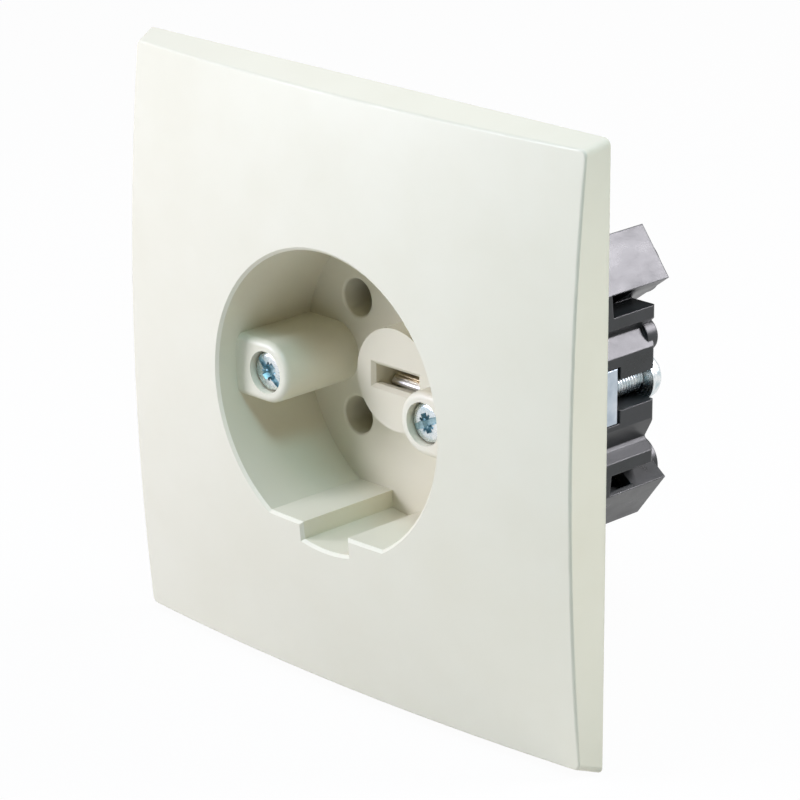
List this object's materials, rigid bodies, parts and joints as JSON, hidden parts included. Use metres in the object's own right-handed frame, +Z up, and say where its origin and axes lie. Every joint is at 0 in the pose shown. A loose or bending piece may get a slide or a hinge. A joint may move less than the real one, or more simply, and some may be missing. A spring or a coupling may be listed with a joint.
{
  "type": "five-pole flush wall socket",
  "caption": "Square flush wall socket with a cushion-shaped cover, a keyed round plug recess, a steel support frame and a dark contact base with screw terminals.",
  "frame": {"origin": "centre of the cover plate, on the wall's surface", "axes": "+X right and +Z up for someone facing the socket, +Y into the wall"},
  "size_m": [0.08, 0.0394, 0.08],
  "materials": {
    "cover_cream": "smooth semi-gloss moulding",
    "base_charcoal": "dark moulded thermoset, satin",
    "retainer_dark": "dark moulded thermoset, satin",
    "frame_zinc": "bluish zinc plating",
    "steel_zinc": "bright zinc plating",
    "contact_brass": "bare brass",
    "leaf_nickel": "nickel plated, polished"
  },
  "bodies": {
    "root": {"cover_plate": "cover_cream", "cover_screw_left": "steel_zinc", "cover_screw_right": "steel_zinc", "support_frame": "frame_zinc", "contact_base": "base_charcoal", "contact_retainer": "retainer_dark", "pin_contact_upper_left": "contact_brass", "pin_contact_upper_right": "contact_brass", "pin_contact_lower_left": "contact_brass", "pin_contact_lower_right": "contact_brass", "earth_bar": "contact_brass", "earth_leaf_lower": "leaf_nickel", "earth_leaf_upper": "leaf_nickel", "terminal_screw_upper_left": "steel_zinc", "terminal_screw_upper_right": "steel_zinc", "terminal_screw_lower_left": "steel_zinc", "terminal_screw_lower_right": "steel_zinc", "terminal_screw_earth": "steel_zinc", "clamp_plate_upper_left": "frame_zinc", "clamp_plate_upper_right": "frame_zinc", "clamp_plate_lower_left": "frame_zinc", "clamp_plate_lower_right": "frame_zinc", "clamp_plate_earth": "frame_zinc", "frame_screw_left": "steel_zinc", "frame_screw_right": "steel_zinc", "frame_washer_left": "steel_zinc", "frame_washer_right": "steel_zinc", "base_rivet_upper": "contact_brass", "base_rivet_lower": "contact_brass"}
  },
  "joints": []
}
